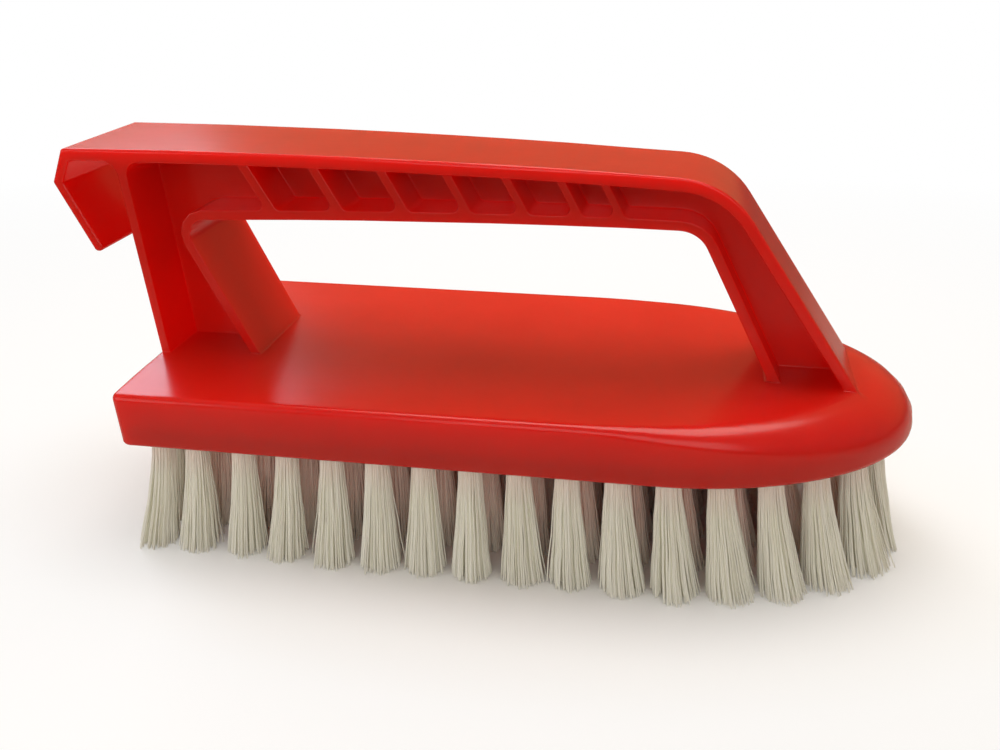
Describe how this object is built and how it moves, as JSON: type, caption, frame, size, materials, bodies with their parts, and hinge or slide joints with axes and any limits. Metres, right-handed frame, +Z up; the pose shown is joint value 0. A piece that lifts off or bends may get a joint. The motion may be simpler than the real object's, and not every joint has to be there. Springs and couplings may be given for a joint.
{
  "type": "tile brush",
  "caption": "Hand scrubbing brush: square-tailed, round-nosed block with rows of stiff bristle tufts, a looped ribbed handle and a hanging hook.",
  "frame": {"origin": "on the surface that the bristle tips stand on, under the middle of the whole brush", "axes": "+X from the hook to the rounded nose, +Y across the brush to its left side, +Z up from the tips to the handle"},
  "size_m": [0.1739, 0.0694, 0.0817],
  "materials": {
    "red_plastic": "glossy, slightly translucent polypropylene",
    "ivory_bristle": "crimped ivory nylon filaments"
  },
  "bodies": {
    "root": {"brush_body": "red_plastic", "edge_tufts_01": "ivory_bristle", "edge_tufts_02": "ivory_bristle", "edge_tufts_03": "ivory_bristle", "edge_tufts_04": "ivory_bristle", "edge_tufts_05": "ivory_bristle", "edge_tufts_06": "ivory_bristle", "edge_tufts_07": "ivory_bristle", "edge_tufts_08": "ivory_bristle", "edge_tufts_09": "ivory_bristle", "row_1_tufts_1": "ivory_bristle", "row_1_tufts_2": "ivory_bristle", "row_1_tufts_3": "ivory_bristle", "row_1_tufts_4": "ivory_bristle", "row_2_tufts_1": "ivory_bristle", "row_2_tufts_2": "ivory_bristle", "row_2_tufts_3": "ivory_bristle", "row_2_tufts_4": "ivory_bristle", "row_3_tufts_1": "ivory_bristle", "row_3_tufts_2": "ivory_bristle", "row_3_tufts_3": "ivory_bristle", "row_3_tufts_4": "ivory_bristle", "row_4_tufts_1": "ivory_bristle", "row_4_tufts_2": "ivory_bristle", "row_4_tufts_3": "ivory_bristle", "row_4_tufts_4": "ivory_bristle", "row_5_tufts_1": "ivory_bristle", "row_5_tufts_2": "ivory_bristle", "row_5_tufts_3": "ivory_bristle", "row_5_tufts_4": "ivory_bristle"}
  },
  "joints": []
}
